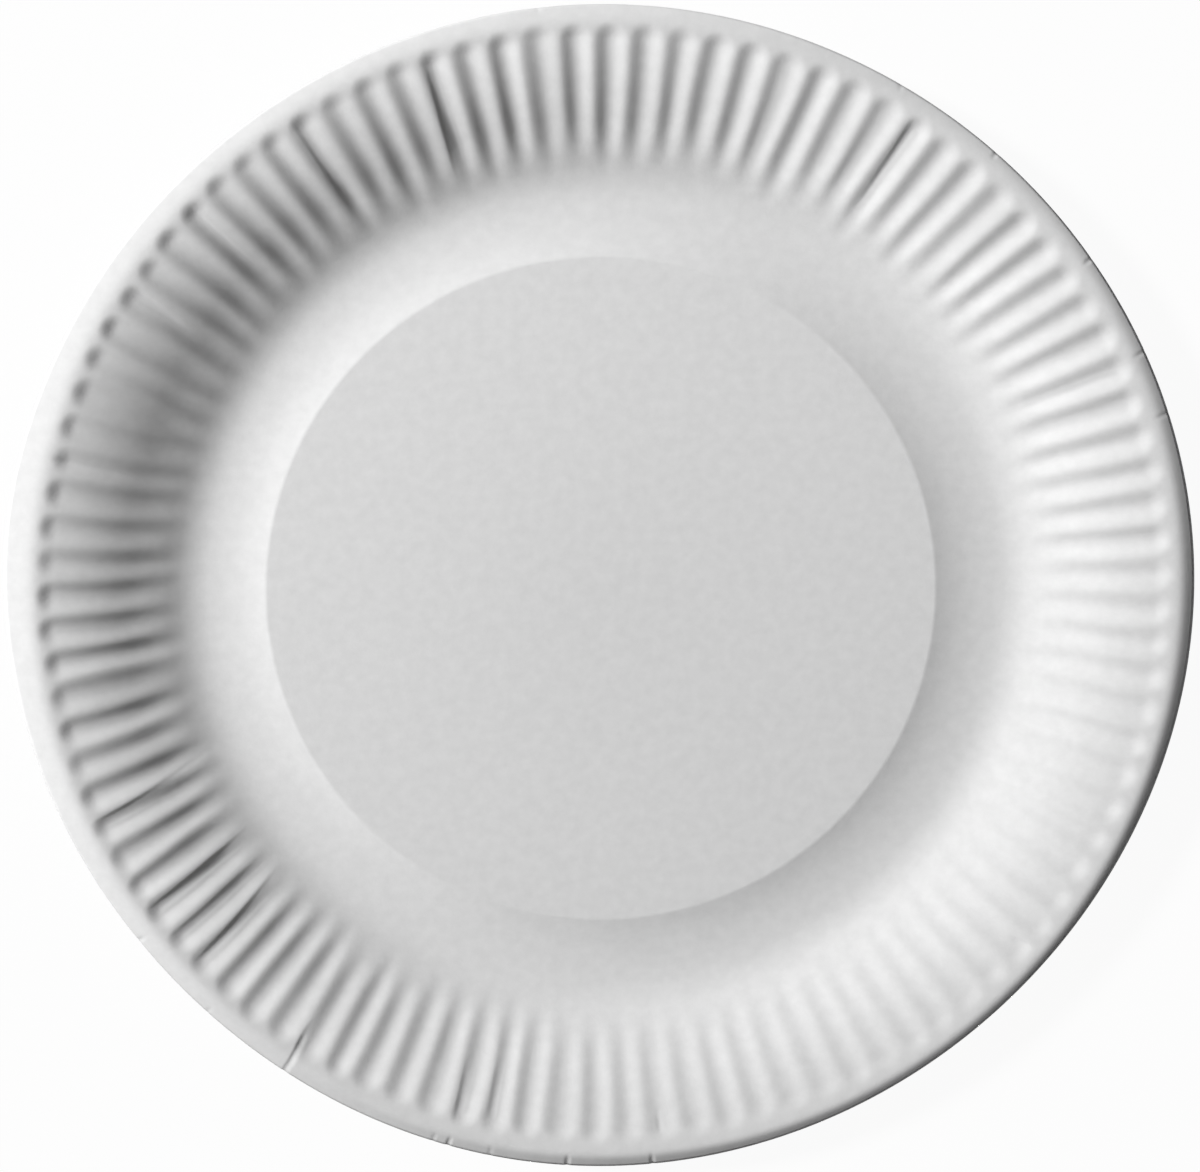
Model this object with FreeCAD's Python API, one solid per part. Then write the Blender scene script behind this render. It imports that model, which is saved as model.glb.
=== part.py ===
"""Pressed paperboard plate, one piece.

A round blank of board is pressed into a flat raised floor, a shallow foot groove
round it, a sloping wall with a hundred radial flutes and a plain lip turned down
at its edge. The origin is at the middle of the plate, on the surface it rests on,
and Z points up. All sizes are in millimetres, all slopes in degrees, outward up.
"""
import FreeCAD, Part
import math
import os

# overall sizes
EDGE_LONG = 230.0            # across the lip's cut edge, along X
EDGE_SHORT = 227.6           # across the lip's cut edge, along Y: the lip is slightly oval
BOARD = 0.5                  # thickness of the board

# floor and foot groove
FLOOR_RADIUS = 65.8          # crisp edge of the flat floor
FLOOR_RAISE = 1.5            # floor above the bottom of the foot groove
FOOT_RADIUS = 76.5           # middle of the foot groove, the ring the plate stands on
FOOT_LAND = 2.0              # flat width at the bottom of the groove
FOOT_BEND = 16.0             # radius of the bend from the groove up into the wall

# wall
WALL_SLOPE = 34.5            # steepest part of the wall
WALL_STRAIGHT_TO = 91.0      # radius where the wall starts to lean outward
RIM_SLOPE = 8.0              # slope left where the wall runs out into the rim

# flutes, from a flat narrow ridge down both flanks to the groove
FLUTE_COUNT = 100
FLUTE_END = 109.0            # radius where the grooves have closed
FLUTE_RINGS = ((93.0, 0.95), (100.0, 1.2), (107.0, 1.25))    # radius and depth of full sections
FLUTE_SECTION = ((0.07, 0.0), (0.24, 0.66), (0.40, 1.0))     # shares of the pitch and of the depth

# lip
LIP_DROP = 2.0               # cut edge below the rim where the flutes end

# rings that a bend is ruled between
INNER_FOOT_STEPS = 2
OUTER_FOOT_STEPS = 3
LIP_STEPS = 3


PITCH = 360.0 / FLUTE_COUNT


def at(radius, z, angle=0.0):
    """Point at a radius, a height and a turn about Z in degrees."""
    turn = math.radians(angle)
    return FreeCAD.Vector(radius * math.cos(turn), radius * math.sin(turn), z)


def below(radius, z, slope, depth):
    """Radius and height of the point a depth below the top side, square to its slope."""
    lean = math.radians(slope)
    return radius + depth * math.sin(lean), z - depth * math.cos(lean)


def steps(start, end, count):
    """Values that lead from start to end in even steps, both of them included."""
    return [start + (end - start) * i / count for i in range(count + 1)]


def bend(radius, z, slope, bend_radius, next_slope):
    """Radius and height that a bend has reached once its slope has changed."""
    old, new = math.radians(slope), math.radians(next_slope)
    reach = bend_radius * (math.sin(new) - math.sin(old))
    rise = bend_radius * (math.cos(old) - math.cos(new))
    return radius + reach, z + rise


def foot_profile():
    """Radius, height and slope of the foot groove's rings, from the floor to the wall."""
    inner_foot = FOOT_RADIUS - FOOT_LAND / 2
    outer_foot = FOOT_RADIUS + FOOT_LAND / 2
    width = inner_foot - FLOOR_RADIUS
    floor_slope = -math.degrees(2 * math.atan2(FLOOR_RAISE, width))
    inner_bend = -width / math.sin(math.radians(floor_slope))
    profile = [(FLOOR_RADIUS, BOARD + FLOOR_RAISE, floor_slope / 2)]
    for slope in steps(floor_slope, 0, INNER_FOOT_STEPS)[1:]:
        profile.append((*bend(inner_foot, BOARD, 0, inner_bend, slope), slope))
    for slope in steps(0, WALL_SLOPE, OUTER_FOOT_STEPS):
        profile.append((*bend(outer_foot, BOARD, 0, FOOT_BEND, slope), slope))
    return profile


def wall_station(radius):
    """Height and slope of the wall's ridge line at a radius."""
    foot_radius, foot_z, _ = foot_profile()[-1]
    straight_z = foot_z + (WALL_STRAIGHT_TO - foot_radius) * math.tan(math.radians(WALL_SLOPE))
    if radius <= WALL_STRAIGHT_TO:
        return straight_z - (WALL_STRAIGHT_TO - radius) * math.tan(math.radians(WALL_SLOPE)), WALL_SLOPE
    steep = math.sin(math.radians(WALL_SLOPE))
    lean = (FLUTE_END - WALL_STRAIGHT_TO) / (math.sin(math.radians(RIM_SLOPE)) - steep)
    slope = math.degrees(math.asin(steep + (radius - WALL_STRAIGHT_TO) / lean))
    return bend(WALL_STRAIGHT_TO, straight_z, WALL_SLOPE, lean, slope)[1], slope


def lip_profile():
    """Reach beyond the flutes, height and slope of the lip's rings, along X."""
    rim_z, _ = wall_station(FLUTE_END)
    reach = EDGE_LONG / 2 - FLUTE_END
    edge_slope = -math.degrees(2 * math.atan2(LIP_DROP, reach)) - RIM_SLOPE
    lip_bend = reach / (math.sin(math.radians(edge_slope)) - math.sin(math.radians(RIM_SLOPE)))
    profile = []
    for slope in steps(RIM_SLOPE, edge_slope, LIP_STEPS):
        radius, z = bend(0, rim_z, RIM_SLOPE, lip_bend, slope)
        profile.append((radius, z, slope))
    return profile


def plain_ring(radius, z, short_radius=None):
    """Corners of a ring without flutes, one in the middle of each ridge."""
    across = (short_radius or radius) / radius
    corners = []
    for flute in range(FLUTE_COUNT):
        corner = at(radius, z, PITCH * flute)
        corners.append(FreeCAD.Vector(corner.x, corner.y * across, z))
    return corners


def flute_section(pitch_length, sink, depth):
    """Corners of one flute from ridge to ridge, as run and fall, set off to the board's depth."""
    half = [(share * pitch_length, fall * sink) for share, fall in FLUTE_SECTION]
    section = half + [(pitch_length - run, fall) for run, fall in reversed(half)]
    closed = [(-half[0][0], 0.0)] + section + [(pitch_length + half[0][0], 0.0)]
    corners = []
    for before, corner, after in zip(closed, closed[1:], closed[2:]):
        slope_in = math.atan2(corner[1] - before[1], corner[0] - before[0])
        slope_out = math.atan2(after[1] - corner[1], after[0] - corner[0])
        mean, half_turn = (slope_in + slope_out) / 2, (slope_out - slope_in) / 2
        across = depth * math.sin(mean) / math.cos(half_turn)
        down = depth * (math.cos(mean) / math.cos(half_turn) - 1)
        corners.append((corner[0] - across, corner[1] + down))
    return corners


def flute_ring(radius, sink, depth):
    """Corners of a fluted ring, its ridges on the wall and its grooves sunk below it."""
    ring_radius, z = below(radius, *wall_station(radius), depth)
    corners = []
    for flute in range(FLUTE_COUNT):
        for run, fall in flute_section(ring_radius * math.radians(PITCH), sink, depth):
            corners.append(at(ring_radius, z - fall, PITCH * flute + math.degrees(run / ring_radius)))
    return corners


def closed_wire(corners):
    """Closed wire through the corners of a ring."""
    return Part.makePolygon(corners + corners[:1])


def facet(*corners):
    """Flat face between its corners."""
    return Part.Face(closed_wire(list(corners)))


def ruled(rings):
    """Faces ruled from each ring to the next."""
    return Part.makeLoft([closed_wire(ring) for ring in rings], False, True).Faces


def fade(plain, fluted):
    """Facets that run the flutes out into a plain ring, a fan at each ridge."""
    count = 2 * len(FLUTE_SECTION)
    faces = []
    for flute in range(FLUTE_COUNT):
        near, far = plain[flute], plain[(flute + 1) % FLUTE_COUNT]
        section = fluted[flute * count:(flute + 1) * count]
        middle = count // 2
        for i in range(middle - 1):
            faces.append(facet(near, section[i], section[i + 1]))
            faces.append(facet(far, section[middle + i], section[middle + i + 1]))
        faces.append(facet(near, section[middle - 1], section[middle], far))
        faces.append(facet(near, fluted[flute * count - 1], section[0]))
    return faces


def turned(profile):
    """Faces turned about Z: the flat floor and the inner bend of the foot groove."""
    corners = [at(radius, z) for radius, z in profile]
    chain = Part.makePolygon([at(0, corners[0].z)] + corners)
    return chain.revolve(at(0, 0), FreeCAD.Vector(0, 0, 1), 360).Faces


def land(radius, z, outer_ring):
    """Flat bottom of the foot groove, from the turned bend out to the first ring of the wall."""
    circle = Part.Wire(Part.makeCircle(radius, at(0, z)))
    return Part.Face([closed_wire(outer_ring), circle])


def lip_rings(depth):
    """Rings of the lip, round where the flutes end and more oval the further they reach."""
    across = (EDGE_SHORT / 2 - FLUTE_END) / (EDGE_LONG / 2 - FLUTE_END)
    rings = []
    for reach, z, slope in lip_profile():
        inset, ring_z = below(0, z, slope, depth)
        rings.append(plain_ring(FLUTE_END + reach + inset, ring_z, FLUTE_END + reach * across + inset))
    return rings


def side(depth):
    """Faces of one side of the board, a depth below its top side, and the ring at its cut edge."""
    foot = [below(*station, depth) for station in foot_profile()]
    inner, outer = foot[:INNER_FOOT_STEPS + 1], foot[INNER_FOOT_STEPS + 1:]
    wall_foot = [plain_ring(radius, z) for radius, z in outer]
    flutes = [flute_ring(radius, sink, depth) for radius, sink in FLUTE_RINGS]
    lip = lip_rings(depth)
    faces = turned(inner) + [land(*inner[-1], wall_foot[0])] + ruled(wall_foot)
    faces += fade(wall_foot[-1], flutes[0]) + ruled(flutes) + fade(lip[0], flutes[-1]) + ruled(lip)
    return faces, lip[-1]


def plate():
    """Top side, underside and cut edge sewn into one closed piece of board."""
    top, top_edge = side(0)
    under, under_edge = side(BOARD)
    skin = Part.makeCompound(top + under + ruled([top_edge, under_edge]))
    skin.sewShape()
    return Part.Solid(skin.Shells[0])


os.makedirs("parts", exist_ok=True)
plate().exportStep("parts/plate.step")
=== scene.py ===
import math
import random
from collections import namedtuple

import bmesh
import bpy
from mathutils import Matrix, Vector


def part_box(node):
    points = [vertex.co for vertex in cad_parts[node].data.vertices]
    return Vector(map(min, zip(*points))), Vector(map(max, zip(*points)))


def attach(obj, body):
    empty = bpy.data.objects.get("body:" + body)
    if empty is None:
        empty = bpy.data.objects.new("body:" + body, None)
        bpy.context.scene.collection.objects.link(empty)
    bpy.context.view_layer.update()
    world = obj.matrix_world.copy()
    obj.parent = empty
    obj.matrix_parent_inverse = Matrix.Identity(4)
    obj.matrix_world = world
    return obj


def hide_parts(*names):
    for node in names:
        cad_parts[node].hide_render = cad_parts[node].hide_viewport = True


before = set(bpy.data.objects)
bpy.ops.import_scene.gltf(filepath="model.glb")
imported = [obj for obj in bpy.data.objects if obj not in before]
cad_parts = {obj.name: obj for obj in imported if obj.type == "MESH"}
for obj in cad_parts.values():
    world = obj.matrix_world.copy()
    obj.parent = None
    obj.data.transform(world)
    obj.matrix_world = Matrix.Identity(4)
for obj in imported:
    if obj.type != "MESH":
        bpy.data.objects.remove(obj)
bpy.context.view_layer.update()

# Plate: one round blank of white paperboard, pressed hot between two dies. The floor is flat
# and stands on a foot groove, the wall is gathered into a hundred flutes, and the edge of the
# blank is left plain and turned down.
cad_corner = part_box("plate")[1]
edge_long, rim_top = cad_corner[0], cad_corner[2]
board = 0.0005
floor_radius = 0.0658
floor_raise = 0.0015
foot_radius = 0.0765
foot_land = 0.0020
foot_bend = 0.0130
wall_slope = math.radians(34.5)
wall_straight_to = 0.0930
rim_slope = math.radians(8.0)
wall_end = 0.1090

inner_foot = foot_radius - foot_land / 2
outer_foot = foot_radius + foot_land / 2
inner_bend_turn = 2 * math.atan2(floor_raise, inner_foot - floor_radius)
inner_bend = (inner_foot - floor_radius) / math.sin(inner_bend_turn)
wall_foot = outer_foot + foot_bend * math.sin(wall_slope)
wall_foot_z = foot_bend * (1 - math.cos(wall_slope))
straight_z = wall_foot_z + (wall_straight_to - wall_foot) * math.tan(wall_slope)
wall_bend = (wall_end - wall_straight_to) / (math.sin(wall_slope) - math.sin(rim_slope))


def smooth_step(low_end, high_end, value):
    """0 below the low end, 1 above the high end, smooth between."""
    share = min(1.0, max(0.0, (value - low_end) / (high_end - low_end)))
    return share * share * (3 - 2 * share)


def rise_from_foot(radius):
    """Height of the board's top side above the foot groove, without flutes or lip."""
    if radius <= floor_radius:
        return floor_raise
    if radius <= inner_foot:
        return inner_bend - math.sqrt(inner_bend ** 2 - (inner_foot - radius) ** 2)
    if radius <= outer_foot:
        return 0.0
    if radius <= wall_foot:
        return foot_bend - math.sqrt(foot_bend ** 2 - (radius - outer_foot) ** 2)
    if radius <= wall_straight_to:
        return wall_foot_z + (radius - wall_foot) * math.tan(wall_slope)
    reached = min(radius, wall_end)
    slope = math.asin(math.sin(wall_slope) - (reached - wall_straight_to) / wall_bend)
    rise = straight_z + wall_bend * (math.cos(slope) - math.cos(wall_slope))
    return rise + (radius - reached) * math.tan(rim_slope)


# the upper die sat a little to the lower right, so the foot, wall and rim lie off the floor's
# middle by this much, in full from the foot groove outward
die_off_at = math.radians(-45)
die_off_by = 0.0013
die_off_fully_from = 0.0780


def off_middle_of_floor(radius, angle):
    """How far outward the section lies at a place."""
    share = smooth_step(floor_radius, die_off_fully_from, radius)
    return die_off_by * math.cos(angle - die_off_at) * share


# the lip starts to roll down later at the right, rolls tightest at the bottom and lies
# flattest at the upper left; its last slope is in degrees
lip_start = 0.1083
lip_start_sway = 0.0015
late_lip_at = math.radians(-30)
tight_lip_at = math.radians(290)
flat_lip_at = math.radians(125)
lip_roll = 0.0036
lip_slope = 31


def lip_fall(radius, angle):
    """How far the lip has rolled down below the rim's own slope."""
    tight = max(0.0, math.cos(angle - tight_lip_at))
    flat = max(0.0, math.cos(angle - flat_lip_at)) ** 0.7
    late = math.tanh(2.5 * math.cos(angle - late_lip_at))
    start = lip_start + lip_start_sway * late + 0.0004 * tight
    roll = lip_roll - 0.0014 * tight
    last_slope = math.radians(lip_slope + 7 * tight - 17 * flat)
    turned = min(1.0, max(0.0, (radius - start) / roll))
    beyond = max(0.0, radius - start - roll)
    return (math.tan(rim_slope) + math.tan(last_slope)) * (
        roll * (turned ** 3 - turned ** 4 / 2) + beyond)


# the cut edge: the blank lay off the die's middle and was drawn in unevenly. Each wave has its
# count round the plate and its reach along X and Y in hundredths of a millimetre, and one
# bulge at the left has its reach, place and width in degrees
edge_radius = 0.1130
edge_waves = [(1, 22, -65), (2, 62, -7), (3, -4, 28), (4, 42, -5)]
bulge, bulge_at, bulge_width = 0.0006, 172, 12


def edge_at(angle):
    """Radius of the cut edge at a turn."""
    off_bulge = (math.degrees(angle) - bulge_at) / bulge_width
    radius = edge_radius + bulge * math.exp(-off_bulge ** 2)
    for count, along, across in edge_waves:
        radius += (along * math.cos(count * angle) + across * math.sin(count * angle)) * 1e-5
    return radius


# radius where each stretch of the section ends, and its rows
stretches = [(0.0654, 1), (0.0662, 2), (inner_foot, 3), (outer_foot, 1), (wall_foot, 4),
             (0.1040, 10), (0.1100, 10), (edge_long, 7)]
rows = [0.0]
for end, count in stretches:
    start = rows[-1]
    rows += [start + (end - start) * i / count for i in range(1, count + 1)]
flute_count = 100
columns_per_flute = 11

bm = bmesh.new()
chain = [bm.verts.new((radius, 0, 0)) for radius in rows]
edges = [bm.edges.new(pair) for pair in zip(chain, chain[1:])]
bmesh.ops.spin(bm, geom=chain + edges, axis=(0, 0, 1), cent=(0, 0, 0), angle=2 * math.pi,
               steps=flute_count * columns_per_flute, use_merge=True, use_duplicate=False)
bmesh.ops.remove_doubles(bm, verts=bm.verts[:], dist=1e-6)
bmesh.ops.recalc_face_normals(bm, faces=bm.faces[:])

# no two flutes are quite alike: each ridge strays a little, and each groove has its own
# depth in metres, share of flat bottom, start and reach
random.seed(7)
ridge_shift = [random.gauss(0, 0.030) for _ in range(flute_count)]
ridge_sway = [random.gauss(0, 0.025) for _ in range(flute_count)]
sway_phase = [random.uniform(0, 2 * math.pi) for _ in range(flute_count)]
groove_depth = [random.uniform(0.00076, 0.00098) for _ in range(flute_count)]
groove_bottom = [random.uniform(0.0, 0.14) for _ in range(flute_count)]
groove_start = [random.uniform(0.0820, 0.0842) for _ in range(flute_count)]
groove_reach = [random.uniform(-0.0003, 0.0003) for _ in range(flute_count)]
# all grooves start on the wall and end blunt at the rim, further out at the right, and they
# are pressed less deep at the lower right
groove_from = 0.0800
groove_growth = 0.0100
groove_end = 0.1091
groove_end_sway = 0.00095
blunt_end = 0.0034
weak_press_at = math.radians(297)
sway_per_metre = 210


def ridge_turn(ridge, radius):
    """Place of a ridge at a radius, counted in flutes round the plate."""
    index = ridge % flute_count
    sway = ridge_sway[index] * math.sin(sway_per_metre * radius + sway_phase[index])
    return ridge + ridge_shift[index] + sway


def flute_sink(radius, angle, groove, across):
    """How far the board is pressed down in a groove, across it from -1 to 1."""
    weakness = max(0.0, math.cos(angle - weak_press_at)) ** 3
    end = groove_end + groove_end_sway * math.cos(angle) + groove_reach[groove]
    along = max(0.0, (radius - end) / blunt_end + 1)
    off_middle = min(1.0, math.hypot(across, along))
    start = groove_start[groove] + off_middle_of_floor(radius, angle) + 0.0012 * across ** 2
    grow = smooth_step(start, start + groove_growth, radius)
    shape = smooth_step(1.0, groove_bottom[groove], off_middle)
    return groove_depth[groove] * (1 - 0.6 * weakness) * grow * shape


# folds where the board buckled in the press: turn in degrees at the outer end, swing towards
# the inner end, both radii, depth, and width of the flanks ahead of and behind the fold
Fold = namedtuple("Fold", "turn swing inner outer depth ahead behind")
folds = [
    Fold(106.9, 1.0, 0.0845, 0.1070, 0.00020, 0.0009, 0.0022),
    Fold(121.3, -0.1, 0.0868, 0.1085, 0.00020, 0.0010, 0.0026),
    Fold(134.9, 0.0, 0.0915, 0.1080, 0.00020, 0.0024, 0.0010),
    Fold(144.8, 1.4, 0.0915, 0.1078, 0.00020, 0.0026, 0.0010),
    Fold(163.9, 0.3, 0.0930, 0.1086, 0.00014, 0.0009, 0.0009),
    Fold(56.4, -0.4, 0.0900, 0.1087, 0.00018, 0.0009, 0.0022),
    Fold(23.3, 0.2, 0.0900, 0.1070, 0.00010, 0.0009, 0.0016),
    Fold(319.6, -0.5, 0.1045, 0.1092, 0.00016, 0.0009, 0.0009),
    Fold(202.6, -2.4, 0.0825, 0.1085, 0.00024, 0.0022, 0.0009),
    Fold(213.3, -0.8, 0.0843, 0.1080, 0.00022, 0.0020, 0.0009),
    Fold(217.0, -0.3, 0.0846, 0.1082, 0.00012, 0.0018, 0.0009),
    Fold(220.7, -1.4, 0.0842, 0.1076, 0.00023, 0.0020, 0.0009),
    Fold(235.0, -0.6, 0.1020, 0.1160, 0.00024, 0.0012, 0.0008),
    Fold(253.2, -0.4, 0.0960, 0.1078, 0.00014, 0.0014, 0.0009),
    Fold(256.7, -0.3, 0.0950, 0.1060, 0.00012, 0.0014, 0.0009),
    Fold(275.1, 0.0, 0.1030, 0.1075, 0.00010, 0.0012, 0.0009),
]
# nicks where the turned edge buckled, as turn in degrees and depth
nicks = [(17.6, 0.00012), (24.0, 0.00014), (34.4, 0.00018), (48.1, 0.00018), (59.3, 0.00014),
         (95.2, 0.00012), (215.3, 0.00014), (225.2, 0.00010), (251.6, 0.00012), (253.2, 0.00026),
         (257.5, 0.00010), (265.4, 0.00024), (274.0, 0.00020)]
nick_inner, nick_outer, nick_width = 0.1108, 0.1150, 0.0008
for nick_at, depth in nicks:
    folds.append(Fold(nick_at, 0.0, nick_inner, nick_outer, depth, nick_width, nick_width))


def off_fold(fold, radius, angle):
    """Distance ahead of a fold, and how far along it a place lies from 0 outside to 1 inside."""
    inward = (fold.outer - radius) / (fold.outer - fold.inner)
    path = math.radians(fold.turn + fold.swing * inward ** 2)
    return ((angle - path + math.pi) % (2 * math.pi) - math.pi) * radius, inward


def fold_sink(radius, angle):
    """How far the folds draw the board down at a place."""
    sink = 0.0
    for fold in folds:
        if fold.inner < radius < fold.outer:
            aside, inward = off_fold(fold, radius, angle)
            width = fold.ahead if aside > 0 else fold.behind
            if abs(aside) < width:
                ends = smooth_step(0.0, 0.25, inward) * smooth_step(1.0, 0.75, inward)
                sink += fold.depth * ends * (1 - smooth_step(0, width, abs(aside)))
    return sink


# the mesh is finer across the folds and a little beside them
beside_fold = 0.0005


def crosses_fold(radius, angle):
    """Whether a place lies on a fold or a little beside it."""
    for fold in folds:
        if fold.inner < radius < fold.outer:
            aside, _ = off_fold(fold, radius, angle)
            if -fold.behind - beside_fold < aside < fold.ahead + beside_fold:
                return True
    return False


crossing = []
for edge in bm.edges:
    middle = (edge.verts[0].co + edge.verts[1].co) / 2
    runs_round = abs(edge.verts[0].co.xy.length - edge.verts[1].co.xy.length) < 1e-5
    if runs_round and crosses_fold(middle.xy.length, math.atan2(middle.y, middle.x)):
        crossing.append(edge)
bmesh.ops.subdivide_edges(bm, edges=crossing, cuts=2)


def bare_rise(radius, angle):
    """Height of the board's top side above the foot groove, without flutes."""
    at_die = radius - off_middle_of_floor(radius, angle)
    rise = rise_from_foot(at_die)
    if at_die > outer_foot:
        rise = (rise - lip_fall(radius, angle)) * wall_share
    return rise


# the wall is stretched so that its highest crest, which lies near the rim, reaches the top of
# the CAD solid
wall_share = 1.0
near_rim = [0.1070 + 0.0001 * step for step in range(60)]
crest = max(bare_rise(radius, math.radians(place)) for radius in near_rim for place in range(360))
wall_share = (rim_top - board) / crest

# each vertex is drawn to the cut edge, then turned with the ridges and set to its height. The
# columns lie closer together at the ridges, and follow them as they stray
lip_from = 0.1060
closer_at_ridges = 0.15
follow_in = 0.004
follow_out = 0.003
for vert in bm.verts:
    radius = vert.co.xy.length
    angle = math.atan2(vert.co.y, vert.co.x) % (2 * math.pi)
    if radius > lip_from:
        radius += (edge_at(angle) - edge_long) * (radius - lip_from) / (edge_long - lip_from)
    rise = bare_rise(radius, angle)
    if radius > groove_from:
        groove, place = divmod(angle / (2 * math.pi) * flute_count + 1e-7, 1)
        groove = int(groove) % flute_count
        place -= closer_at_ridges * math.sin(2 * math.pi * place) / (2 * math.pi)
        follow = smooth_step(groove_from, groove_from + follow_in, radius) \
            * smooth_step(edge_long, lip_from + follow_out, radius)
        near = groove + (ridge_turn(groove, radius) - groove) * follow
        far = groove + 1 + (ridge_turn(groove + 1, radius) - groove - 1) * follow
        angle = (near + (far - near) * place) / flute_count * 2 * math.pi
        rise -= flute_sink(radius, angle, groove, 2 * place - 1) + fold_sink(radius, angle)
    vert.co = Vector((radius * math.cos(angle), radius * math.sin(angle), board + rise))

plate_mesh = bpy.data.meshes.new("plate_board")
bm.to_mesh(plate_mesh)
bm.free()
plate = bpy.data.objects.new("plate_board", plate_mesh)
bpy.context.scene.collection.objects.link(plate)
for polygon in plate_mesh.polygons:
    polygon.use_smooth = True
thickness = plate.modifiers.new("board", "SOLIDIFY")
thickness.thickness = board
thickness.offset = -1.0
thickness.use_even_offset = True

# uncoated board is matt and faintly mottled; its colour is also darkened along the radius as painted
# shade, deepest on the wall, and lightened towards the rim as painted light
paper = bpy.data.materials.new("uncoated_board")
paper.use_nodes = True
nodes, links = paper.node_tree.nodes, paper.node_tree.links
shader = nodes["Principled BSDF"]
shader.inputs["Roughness"].default_value = 0.9
shader.inputs["Specular IOR Level"].default_value = 0.15
coordinates = nodes.new("ShaderNodeTexCoord")
mottle = nodes.new("ShaderNodeTexNoise")
mottle.inputs["Scale"].default_value = 420.0
mottle.inputs["Detail"].default_value = 4.0
mottle.inputs["Roughness"].default_value = 0.55
links.new(coordinates.outputs["Object"], mottle.inputs["Vector"])
tone = nodes.new("ShaderNodeMapRange")
tone.inputs["From Min"].default_value = 0.25
tone.inputs["From Max"].default_value = 0.75
tone.inputs["To Min"].default_value = 0.850
tone.inputs["To Max"].default_value = 0.918
links.new(mottle.outputs["Fac"], tone.inputs["Value"])
from_middle = nodes.new("ShaderNodeVectorMath")
from_middle.operation = "MULTIPLY"
from_middle.inputs[1].default_value = (1, 1, 0)
links.new(coordinates.outputs["Object"], from_middle.inputs[0])
distance = nodes.new("ShaderNodeVectorMath")
distance.operation = "LENGTH"
links.new(from_middle.outputs["Vector"], distance.inputs[0])
# painted shade on the wall and painted light at the rim, set by the share of the radius
painted_shade_by_radius = nodes.new("ShaderNodeFloatCurve")
points = painted_shade_by_radius.mapping.curves[0].points
points[0].location, points[1].location = (0.0, 0.97), (1.0, 1.0)
for spot in [(0.75, 0.97), (0.86, 0.935), (0.95, 0.975), (0.985, 1.0)]:
    points.new(*spot)
painted_shade_by_radius.mapping.update()
across_board = nodes.new("ShaderNodeMath")
across_board.operation = "DIVIDE"
across_board.inputs[1].default_value = edge_long
links.new(distance.outputs["Value"], across_board.inputs[0])
links.new(across_board.outputs["Value"], painted_shade_by_radius.inputs["Value"])
shade = nodes.new("ShaderNodeMath")
shade.operation = "MULTIPLY"
links.new(tone.outputs["Result"], shade.inputs[0])
links.new(painted_shade_by_radius.outputs["Value"], shade.inputs[1])
links.new(shade.outputs["Value"], shader.inputs["Base Color"])
grain = nodes.new("ShaderNodeTexNoise")
grain.inputs["Scale"].default_value = 1500.0
grain.inputs["Detail"].default_value = 4.0
links.new(coordinates.outputs["Object"], grain.inputs["Vector"])
bump = nodes.new("ShaderNodeBump")
bump.inputs["Strength"].default_value = 0.2
bump.inputs["Distance"].default_value = 0.0001
links.new(grain.outputs["Fac"], bump.inputs["Height"])
links.new(bump.outputs["Normal"], shader.inputs["Normal"])
plate_mesh.materials.append(paper)

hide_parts("plate")
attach(plate, "root")

# Table: a plain white top, three metres wide, made as one flat grid just under the plate. It
# is seen nearly white, and it keeps the plate's soft shadow.


def seen_directly(nodes, links):
    """1 for what is seen, also in or through something, and 0 for light that falls on the plate."""
    path = nodes.new("ShaderNodeLightPath")
    seen = path.outputs["Is Camera Ray"]
    for kind in ("Is Glossy Ray", "Is Transmission Ray"):
        either = nodes.new("ShaderNodeMath")
        either.operation = "MAXIMUM"
        links.new(seen, either.inputs[0])
        links.new(path.outputs[kind], either.inputs[1])
        seen = either.outputs["Value"]
    return seen


bm = bmesh.new()
bmesh.ops.create_grid(bm, x_segments=1, y_segments=1, size=1.5)
bmesh.ops.translate(bm, verts=bm.verts[:], vec=(0, 0, -0.0002))
table_mesh = bpy.data.meshes.new("table")
bm.to_mesh(table_mesh)
bm.free()
table = bpy.data.objects.new("table", table_mesh)
bpy.context.scene.collection.objects.link(table)
table_paint = bpy.data.materials.new("table_white")
table_paint.use_nodes = True
nodes, links = table_paint.node_tree.nodes, table_paint.node_tree.links
matt = nodes["Principled BSDF"]
matt.inputs["Base Color"].default_value = (0.9, 0.9, 0.9, 1)
matt.inputs["Roughness"].default_value = 1.0
matt.inputs["Specular IOR Level"].default_value = 0.0
glow = nodes.new("ShaderNodeEmission")
glow.inputs["Color"].default_value = (1, 1, 1, 1)
glow.inputs["Strength"].default_value = 1.0
share = nodes.new("ShaderNodeMath")
share.operation = "MULTIPLY"
share.inputs[1].default_value = 0.95
links.new(seen_directly(nodes, links), share.inputs[0])
blend = nodes.new("ShaderNodeMixShader")
links.new(share.outputs["Value"], blend.inputs["Fac"])
links.new(matt.outputs["BSDF"], blend.inputs[1])
links.new(glow.outputs["Emission"], blend.inputs[2])
links.new(blend.outputs["Shader"], nodes["Material Output"].inputs["Surface"])
table_mesh.materials.append(table_paint)

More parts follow.
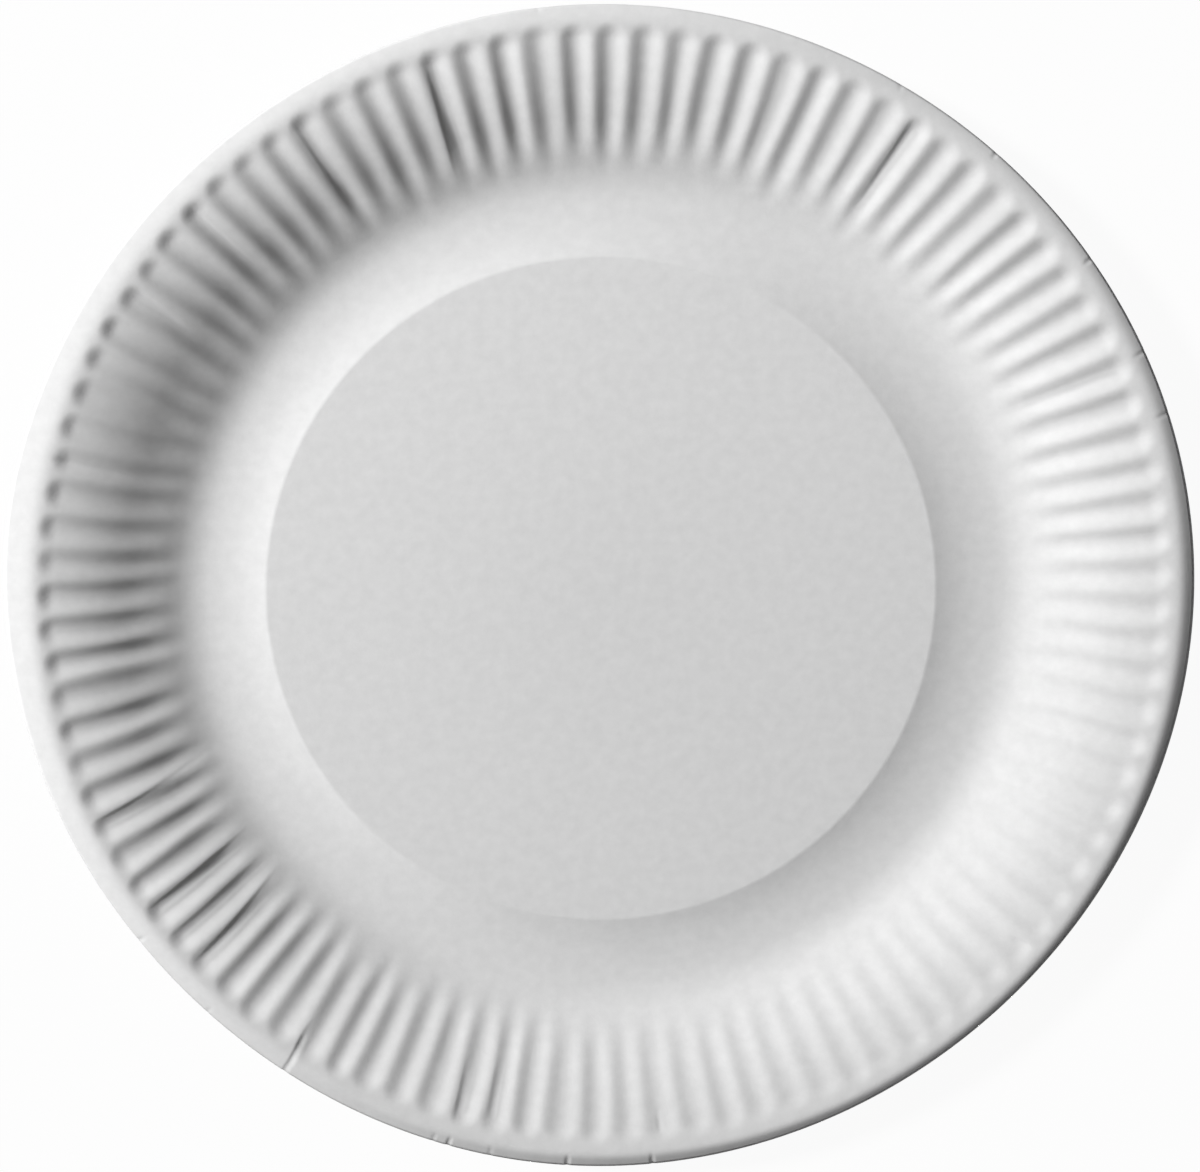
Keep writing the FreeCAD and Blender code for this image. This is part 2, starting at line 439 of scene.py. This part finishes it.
# Light: one soft lamp from the upper left of the picture, about forty degrees up and two
# metres away, turned so that the upper edge gets a little more of it, and a dim even sky,
# which is seen as white as the table.
picture_turn = math.radians(1.0)
turn = Matrix.Rotation(-picture_turn, 3, "Z")
key_azimuth = math.radians(156.5)
key_height = math.radians(38)
key_distance = 1.9
key_data = bpy.data.lights.new("key", "AREA")
key_data.shape = "DISK"
key_data.size = 0.35
key_data.energy = 49.0
key = bpy.data.objects.new("key", key_data)
bpy.context.scene.collection.objects.link(key)
toward_key = Vector((math.cos(key_height) * math.cos(key_azimuth),
                     math.cos(key_height) * math.sin(key_azimuth), math.sin(key_height)))
key_aim = Vector((0.30, 1.25, -0.4))
key.location = turn @ (toward_key * key_distance)
key.rotation_euler = (turn @ (toward_key * key_distance - key_aim)).to_track_quat("Z", "Y").to_euler()

world = bpy.data.worlds.new("sky")
world.use_nodes = True
nodes, links = world.node_tree.nodes, world.node_tree.links
sky = nodes["Background"]
sky.inputs["Color"].default_value = (1, 1, 1, 1)
sky_strength = nodes.new("ShaderNodeMath")
sky_strength.operation = "MULTIPLY_ADD"
sky_strength.inputs[1].default_value = 0.972
sky_strength.inputs[2].default_value = 0.008
links.new(seen_directly(nodes, links), sky_strength.inputs[0])
links.new(sky_strength.outputs["Value"], sky.inputs["Strength"])
bpy.context.scene.world = world
bpy.context.scene.view_settings.view_transform = "Standard"

# Camera: nearly overhead, leaning a few degrees towards the picture's upper edge. The plate
# lies turned a little in the picture, so the camera is turned the other way.
camera_distance = 0.4276
lean_y = math.radians(8.22)
lean_x = math.radians(-1.28)
picture_width = 0.23016
camera_data = bpy.data.cameras.new("camera")
camera_data.sensor_width = 36.0
camera_data.lens = 36.0 * camera_distance / picture_width
camera = bpy.data.objects.new("camera", camera_data)
bpy.context.scene.collection.objects.link(camera)
target = Vector((-0.00059, 0.00326, 0.012))
away = Vector((math.sin(lean_x), math.sin(lean_y), math.cos(lean_y))).normalized()
side = Vector((0, 1, 0)).cross(away).normalized()
facing = Matrix.Identity(3)
facing.col[0], facing.col[1], facing.col[2] = side, away.cross(side), away
camera.location = turn @ (target + away * camera_distance)
camera.rotation_euler = (turn @ facing).to_euler()
bpy.context.scene.camera = camera
